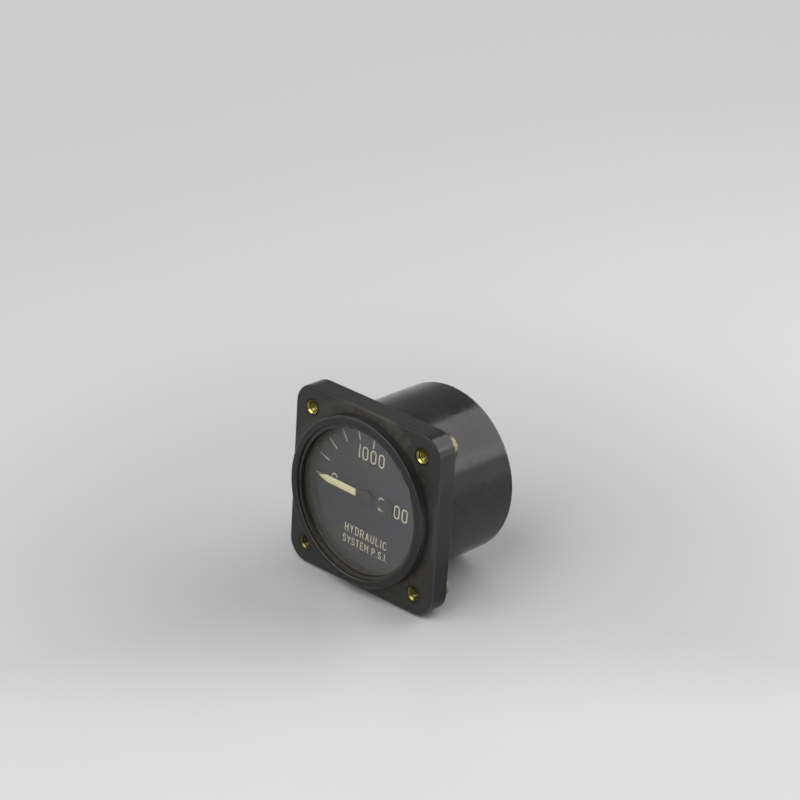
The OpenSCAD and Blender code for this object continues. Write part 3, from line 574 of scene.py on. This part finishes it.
def window_glass():
    """Clear glass with faint smears, dull with dust near its edge and brown with grime at its left edge."""
    f = Finish("glass")
    x = f.axes(f.place)[0]
    radius = f.from_axis()
    smear = f.fade(f.noise(7 * MM, detail=5, roughness=0.65, stretch=(1, 1, 0.6)), 0.5, 0.8)
    dusty = f.times(f.fade(radius, 21.5 * MM, 24.5 * MM), f.fade(x, 12 * MM, -4 * MM))
    f.set(Base_Color=(0.96, 0.97, 0.96), Transmission_Weight=1.0, IOR=1.5)
    f.set(Roughness=f.math("ADD", f.times(smear, 0.03), f.times(dusty, 0.22)))

    to_the_left = f.dot(f.place, (-0.98, 0.0, 0.17))
    grimy = f.times(f.fade(radius, 21.0 * MM, 24.0 * MM), f.fade(to_the_left, 12 * MM, 19 * MM),
                    f.fade(f.noise(3 * MM, detail=4), 0.30, 0.60, 0.6, 1.0))
    grime = f.add("ShaderNodeBsdfDiffuse")
    f.put(grime.inputs["Color"], (0.027, 0.024, 0.016))
    f.blend_shaders(f.times(grimy, 0.75), grime)
    f.let_lamps_through()
    return f.material


FINISHES = {
    "moulding": moulding(),
    "insert_brass": brass("insert_brass", (0.62, 0.53, 0.22), (0.30, 0.25, 0.08), 0.4),
    "mount_brass": mount_brass(),
    "plate_brass": brass("plate_brass", (0.66, 0.50, 0.20), (0.36, 0.25, 0.09), 0.3),
    "socket_brass": brass("socket_brass", (0.58, 0.44, 0.17), (0.20, 0.14, 0.05), 0.5),
    "tube_bronze": brass("tube_bronze", (0.60, 0.36, 0.18), (0.30, 0.17, 0.08), 0.4),
    "ring_black": dark_ring(),
    "spacer_black": dark_spacer(),
    "dial_grey": dial_paint(),
    "pointer_black": pointer_paint(),
    "luminous_paint": luminous(),
    "print_cream": print_cream(),
    "steel": steel("steel", (0.52, 0.52, 0.53), 0.3),
    "spindle_steel": spindle_steel(),
    "spring_steel": steel("spring_steel", (0.40, 0.42, 0.50), 0.25),
    "gasket": fibre("gasket"),
    "glass": window_glass(),
}


def dress_nodes():
    """Gives every CAD node the finish of its slot, and two of them their own."""
    own = {"pinion_spindle": "spindle_steel", "mounting_inserts": "mount_brass"}
    for name, node in frame["nodes"].items():
        for slot in node.material_slots:
            slot.material = FINISHES[own.get(name, slot.material.name.split(".")[0])]


# Mesh pieces

def add_mesh(name, vertices, faces, finish):
    """A smooth mesh object with that finish."""
    mesh = bpy.data.meshes.new(name)
    mesh.from_pydata([tuple(vertex) for vertex in vertices], [], faces)
    mesh.update()
    for polygon in mesh.polygons:
        polygon.use_smooth = True
    mesh.materials.append(finish)
    piece = bpy.data.objects.new(name, mesh)
    bpy.context.scene.collection.objects.link(piece)
    return piece


def add_piece(name, vertices, faces, body, finish):
    """A mesh piece that rides on a body and takes its finish from a slot."""
    piece = add_mesh(name, vertices, faces, FINISHES[finish])
    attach(piece, body)
    return piece


def grid_faces(rows, columns, closed=False):
    """Faces between neighbouring rows of vertices, and from the last row to the first if closed."""
    faces = []
    for i in range(rows if closed else rows - 1):
        here = i * columns
        there = (i + 1) % rows * columns
        for k in range(columns - 1):
            faces.append((here + k, there + k, there + k + 1, here + k + 1))
    return faces


# Dial print

def arc(centre, radius_x, radius_z, start, end, steps=12):
    """Points on an ellipse, from one direction to another in degrees."""
    points = []
    for i in range(steps + 1):
        angle = math.radians(start + (end - start) * i / steps)
        points.append((centre[0] + radius_x * math.cos(angle), centre[1] + radius_z * math.sin(angle)))
    return points


def ribbon(points, width, height, closed=False):
    """A line of paint with a crowned section and round ends: vertices (right, up, proud) and faces."""
    path = [Vector(point) for point in points]
    count = len(path)
    sections = []
    for i, point in enumerate(path):
        before = path[i - 1] if closed or i > 0 else point
        after = path[(i + 1) % count] if closed or i < count - 1 else point
        sections.append((point, (after - before).normalized(), 1.0))
    if not closed:
        (first, first_way, _), (last, last_way, _) = sections[0], sections[-1]
        for angle in map(math.radians, (30, 60, 86)):
            lead = width / 2 * math.sin(angle)
            sections.insert(0, (first - first_way * lead, first_way, math.cos(angle)))
            sections.append((last + last_way * lead, last_way, math.cos(angle)))
    crown = ((-1, 0), (-0.8, 0.7), (0, 1), (0.8, 0.7), (1, 0))
    vertices = []
    for point, way, fullness in sections:
        side = Vector((-way.y, way.x))
        for share, lift in crown:
            place = point + side * (share * width / 2 * fullness)
            vertices.append((place.x, place.y, lift * height * fullness))
    return vertices, grid_faces(len(sections), len(crown), closed)


def characters():
    """Each character's width and its strokes as (points, closed), all in units of its height."""
    n = 0.48
    r = n / 2
    bowl = 0.24
    waist = 1 - 2 * bowl
    stem = ([(0, 0), (0, 1)], False)
    right_stem = ([(n, 0), (n, 1)], False)
    top_bowl = ([(0, 1)] + arc((n - bowl, 1 - bowl), bowl, bowl, 90, -90) + [(0, waist)], False)
    return {
        "0": (n, [(arc((r, 1 - r), r, r, 0, 180) + arc((r, r), r, r, 180, 360), True)]),
        "1": (0.0, [stem]),
        "2": (n, [(arc((r, 1 - r), r, r, 165, -35) + [(0, 0)], False), ([(0, 0), (n, 0)], False)]),
        "A": (n, [([(0, 0), (r, 1)], False), ([(n, 0), (r, 1)], False),
                  ([(0.18 * n, 0.3), (0.82 * n, 0.3)], False)]),
        "C": (n, [(arc((r, 1 - r), r, r, 20, 180) + arc((r, r), r, r, 180, 340), False)]),
        "D": (n, [stem, ([(0, 1)] + arc((n - r, 1 - r), r, r, 90, 0)
                         + arc((n - r, r), r, r, 0, -90) + [(0, 0)], False)]),
        "E": (n, [stem, ([(0, 1), (n, 1)], False), ([(0, 0.5), (0.8 * n, 0.5)], False),
                  ([(0, 0), (n, 0)], False)]),
        "H": (n, [stem, right_stem, ([(0, 0.5), (n, 0.5)], False)]),
        "I": (0.0, [stem]),
        "L": (0.42, [stem, ([(0, 0), (0.42, 0)], False)]),
        "M": (0.58, [stem, ([(0, 1), (0.29, 0.35), (0.58, 1)], False), ([(0.58, 0), (0.58, 1)], False)]),
        "P": (n, [stem, top_bowl]),
        "R": (n, [stem, top_bowl, ([(0.6 * n, waist), (n, 0)], False)]),
        "S": (n, [(arc((r, 0.75), r, 0.25, 25, 270) + arc((r, 0.25), r, 0.25, 90, -155), False)]),
        "T": (n, [([(0, 1), (n, 1)], False), ([(r, 0), (r, 1)], False)]),
        "U": (n, [([(0, 1)] + arc((r, r), r, r, 180, 360) + [(n, 1)], False)]),
        "Y": (n, [([(0, 1), (r, 0.45)], False), ([(n, 1), (r, 0.45)], False), ([(r, 0.45), (r, 0)], False)]),
        ".": (0.0, [([(0, 0), (0, 0.03)], False)]),
        " ": (0.1, []),
    }


CHARACTERS = characters()
print_height = 0.03 * MM
print_sink = 0.005 * MM
print_turn = math.radians(-2.1)


def on_dial(right, up, proud, turn):
    """A point of the print, turned about the dial's centre and set on its face."""
    cosine, sine = math.cos(turn), math.sin(turn)
    return right * cosine - up * sine, dial_front + print_sink - proud, right * sine + up * cosine


def print_strokes(name, strokes, width, turn=0.0):
    """One piece of print from a list of (points, closed)."""
    vertices, faces = [], []
    for points, closed in strokes:
        start = len(vertices)
        stroke_vertices, stroke_faces = ribbon(points, width, print_height + print_sink, closed)
        vertices += [on_dial(*vertex, turn) for vertex in stroke_vertices]
        faces += [tuple(start + i for i in face) for face in stroke_faces]
    add_piece(name, vertices, faces, "case", "print_cream")


def word_strokes(text, centre, height, gap):
    """Strokes of a word whose middle is at centre, with that gap between its characters."""
    widths = [CHARACTERS[character][0] * height for character in text]
    left = centre[0] - (sum(widths) + gap * (len(text) - 1)) / 2
    base = centre[1] - height / 2
    strokes = []
    for character, width in zip(text, widths):
        for points, closed in CHARACTERS[character][1]:
            strokes.append(([(left + x * height, base + z * height) for x, z in points], closed))
        left += width + gap
    return strokes


def print_scale():
    """The marks of the scale: long at 0 and 1000, short between and last."""
    zero_direction = 178.5
    division = 18.22
    divisions = 10
    long_every = 5
    outer = 23.2 * MM
    short_inner = 18.9 * MM
    long_inner = 17.2 * MM
    last_inner = 19.6 * MM
    width = 0.52 * MM
    marks = []
    for i in range(divisions + 1):
        inner = long_inner if i % long_every == 0 else short_inner
        if i == divisions:
            inner = last_inner
        direction = math.radians(zero_direction - i * division)
        way = Vector((math.cos(direction), math.sin(direction)))
        marks.append(([way * inner, way * outer], False))
    print_strokes("dial_ticks", marks, width)


def print_numbers():
    """The numbers of the long marks and of the last one."""
    height = 4.2 * MM
    width = 0.50 * MM
    numbers = word_strokes("1000", (-0.3 * MM, 14.1 * MM), height, gap=1.48 * MM)
    numbers += word_strokes("0", (-15.2 * MM, 0), height, gap=0)
    numbers += word_strokes("2000", (10.37 * MM, -0.3 * MM), height, gap=1.36 * MM)
    print_strokes("dial_numbers", numbers, width, print_turn)


def print_legend():
    """Two plain rows that say what the dial shows."""
    gap = 1.0 * MM
    width = 0.34 * MM
    legend = word_strokes("HYDRAULIC", (0, -13.8 * MM), 2.6 * MM, gap)
    legend += word_strokes("SYSTEM P.S.I.", (0, -17.9 * MM), 2.3 * MM, 0.8 * gap)
    print_strokes("dial_legend", legend, width, print_turn)


# Pointer paint and threads

def pointer_fill():
    """Luminous paint on the blade: crowned, with a rolled edge and a slightly uneven top."""
    corners = points_of("pointer_paint")
    front = min(corner.y for corner in corners)
    back = max(corner.y for corner in corners)
    along = Vector((sum(corner.x for corner in corners), sum(corner.z for corner in corners))).normalized()
    across = Vector((-along.y, along.x))
    flat = [Vector((corner.x, corner.z)) for corner in corners]
    start = min(place.dot(along) for place in flat)
    end = max(place.dot(along) for place in flat)
    half_width = max(abs(place.dot(across)) for place in flat)
    shoulder = max(place.dot(along) for place in flat if abs(place.dot(across)) > 0.99 * half_width)
    tip_half_width = max(abs(place.dot(across)) for place in flat if place.dot(along) > end - 0.01 * MM)

    stations = 90
    columns = 15
    end_share = 4
    side_squareness = 4
    end_squareness = 8
    grain = 0.9 * MM
    unevenness = 0.15
    vertices = []
    for i in range(stations):
        reach = start + (end - start) * i / (stations - 1)
        taper = max(0.0, (reach - shoulder) / (end - shoulder))
        half = half_width + (tip_half_width - half_width) * taper
        inside = min(1.0, end_share * i / stations, end_share * (stations - 1 - i) / stations)
        end_crown = math.sqrt(max(0.0, 1 - (1 - inside) ** end_squareness))
        for k in range(columns):
            share = 2 * k / (columns - 1) - 1
            place = along * reach + across * (share * half)
            crown = math.sqrt(max(0.0, 1 - share ** side_squareness)) * end_crown
            bumps = solid_noise.noise(Vector((place.x, 0, place.y)) / grain)
            uneven = 1 - unevenness + unevenness * bumps
            vertices.append((place.x, back + (front - back) * crown * uneven, place.y))
    piece = add_piece("pointer_fill", vertices, grid_faces(stations, columns), "pointer",
                      "luminous_paint")
    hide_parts("pointer_paint")


def thread(name, centre, start, end, root, crest, pitch, finish):
    """A screw thread's ridge inside a bore along Y, fading out at both ends."""
    steps_per_turn = 40
    steps = int((end - start) / pitch * steps_per_turn)
    runout = steps_per_turn // 3
    foot = 0.44 * pitch
    land = 0.07 * pitch
    vertices = []
    for i in range(steps + 1):
        angle = math.tau * i / steps_per_turn
        y = start + (end - start) * i / steps
        rise = min(1.0, i / runout, (steps - i) / runout)
        top = root + (crest - root) * rise
        for offset, radius in ((-foot, root), (-land, top), (land, top), (foot, root)):
            x = centre[0] + radius * math.cos(angle)
            z = centre[1] + radius * math.sin(angle)
            vertices.append((x, y + offset, z))
    add_piece(name, vertices, grid_faces(steps + 1, 4), "case", finish)


def insert_threads():
    """The threads of the four inserts."""
    pitch = 0.79 * MM
    depth = 0.30 * MM
    root = insert_bore + 0.03 * MM
    start = insert_mouth_depth + pitch / 2
    end = inserts_back - pitch
    for side, x in (("right", hole_offset), ("left", -hole_offset)):
        for level, z in (("top", hole_offset), ("bottom", -hole_offset)):
            thread("insert_thread_" + side + "_" + level, (x, z), start, end,
                   root, insert_bore - depth, pitch, "mount_brass")


def port_thread():
    """The thread of the pressure port."""
    pitch = 0.94 * MM
    depth = 0.45 * MM
    root = port_bore + 0.03 * MM
    start = socket_back - port_bore_length + 2 * pitch
    end = socket_back - pitch
    thread("port_thread", (0, 0), start, end,
           root, port_bore - depth, pitch, "socket_brass")


# Studio

def resting_line():
    """The two lowest lines of the leaning case: the flange's lower edge and the barrel's rear edge."""
    well_behind = 10 * MM
    corners = points_of("case")
    foot = min(corners, key=lambda corner: (round(corner.z, 6), -corner.y))
    behind = [corner for corner in corners if corner.y > foot.y + well_behind]
    heel = min(behind, key=lambda corner: (corner.z - foot.z) / (corner.y - foot.y))
    return foot, heel


def floor_finish():
    """Pale card that fades into the background, painted a little greyer round the gauge and behind it as
    painted shade, and paler towards the viewer as painted light.
    """
    f = Finish("studio_floor")
    edge_start, edge_end = 0.2, 0.5
    x, y = f.axes(f.place)[:2]
    distance = f.diagonal(x, y)
    towards_viewer = f.dot(f.place, (0.68, -0.73, 0.0))
    cloud = f.noise(180 * MM, detail=2)
    greyer = f.mix(cloud, (0.525, 0.525, 0.530), (0.545, 0.545, 0.550))
    # Painted shade and light: grey near the gauge as its soft shadow, paler farther out and towards the
    # viewer.
    paler = f.either(f.fade(distance, 0.07, 0.20, 0.0, 0.8), f.fade(towards_viewer, 0.03, 0.10))
    f.set(Base_Color=f.mix(paler, greyer, (0.67, 0.67, 0.675)))
    f.roughen(0.32, 0.40, size=60 * MM, detail=3)
    f.bump(f.noise(1.5 * MM, detail=2), distance=0.01 * MM)
    f.blend_shaders(f.fade(distance, edge_start, edge_end), f.add("ShaderNodeBsdfTransparent"))
    return f.material


def studio_floor():
    """A wide pale floor that touches the case's two lowest lines, so the gauge leans back on it."""
    foot, heel = resting_line()
    lean = math.atan2(heel.z - foot.z, heel.y - foot.y)
    clear = 0.05 * MM
    rings = 48
    spokes = 96
    reach = 3.0
    vertices = []
    for i in range(rings + 1):
        radius = reach * (i / rings) ** 2
        for k in range(spokes + 1):
            angle = math.tau * k / spokes
            vertices.append((radius * math.cos(angle), radius * math.sin(angle), 0))
    floor = add_mesh("studio_floor", vertices, grid_faces(rings + 1, spokes + 1), floor_finish())
    floor.rotation_euler = Euler((lean, 0, 0))
    up = Vector((0, -math.sin(lean), math.cos(lean)))
    floor.location = (foot + heel) / 2 - up * clear
    floor.location.x = 0


def studio_world():
    """Soft light from all round: pale at the horizon and dimmer above, brightest low behind on the right."""
    horizon, above = 0.60, 0.36
    glow_direction = Vector((0.74, 0.67, 0.0)).normalized()
    glow = 0.31
    world = bpy.data.worlds.new("studio")
    world.use_nodes = True
    bpy.context.scene.world = world
    n = Nodes(world.node_tree)
    direction = n.add("ShaderNodeTexCoord").outputs["Generated"]
    height = n.axes(direction)[2]
    base = n.fade(height, 0.0, 0.3, horizon, above)
    extra = n.fade(n.dot(direction, glow_direction), 0.7, 1.0, 0.0, glow)
    n.put(n.tree.nodes["Background"].inputs["Strength"], n.math("ADD", base, extra))
    n.put(n.tree.nodes["Background"].inputs["Color"], (1.0, 1.0, 1.01))


def soft_box(name, direction, distance, width, height, radiance, roll=0.0):
    """A soft box that faces the gauge and that the camera doesn't see."""
    box = bpy.data.lights.new(name, "AREA")
    box.shape = "RECTANGLE"
    box.size = width
    box.size_y = height
    box.energy = radiance * math.pi * width * height
    lamp = bpy.data.objects.new(name, box)
    bpy.context.scene.collection.objects.link(lamp)
    way = Vector(direction).normalized()
    lamp.location = way * distance
    lamp.rotation_mode = "QUATERNION"
    lamp.rotation_quaternion = (-way).to_track_quat("-Z", "Y") @ Quaternion((0, 0, 1), math.radians(roll))
    lamp.visible_camera = False


def studio_light():
    """A large soft box above in front, one behind to the right and a dim one low to the right."""
    soft_box("front_box", (-0.10, -0.66, 0.74), distance=1.2, width=1.2, height=1.1, radiance=2.6)
    soft_box("back_box", (0.345, 0.69, 0.54), distance=0.9, width=0.93, height=0.81, radiance=2.4, roll=-35)
    soft_box("low_box", (0.60, 0.69, 0.15), distance=0.9, width=0.9, height=0.5, radiance=0.75, roll=-35)


def camera():
    """The photograph's view."""
    distance = 1.052
    azimuth = math.radians(42.70)
    elevation = math.radians(25.90)
    roll = math.radians(3.49)
    aim = Vector((-1.783, 16.560, 28.830)) * MM
    level = math.cos(elevation)
    place = distance * Vector((level * math.sin(azimuth), -level * math.cos(azimuth), math.sin(elevation)))
    data = bpy.data.cameras.new("camera")
    data.sensor_width = 36
    data.lens = 151.83
    data.clip_start = 0.01
    data.clip_end = 20
    eye = bpy.data.objects.new("camera", data)
    bpy.context.scene.collection.objects.link(eye)
    eye.location = place
    eye.rotation_mode = "QUATERNION"
    eye.rotation_quaternion = (aim - place).to_track_quat("-Z", "Y") @ Quaternion((0, 0, 1), roll)
    bpy.context.scene.camera = eye


dress_nodes()
print_scale()
print_numbers()
print_legend()
pointer_fill()
insert_threads()
port_thread()
studio_floor()
studio_world()
studio_light()
camera()
bpy.context.scene.view_settings.view_transform = "Standard"
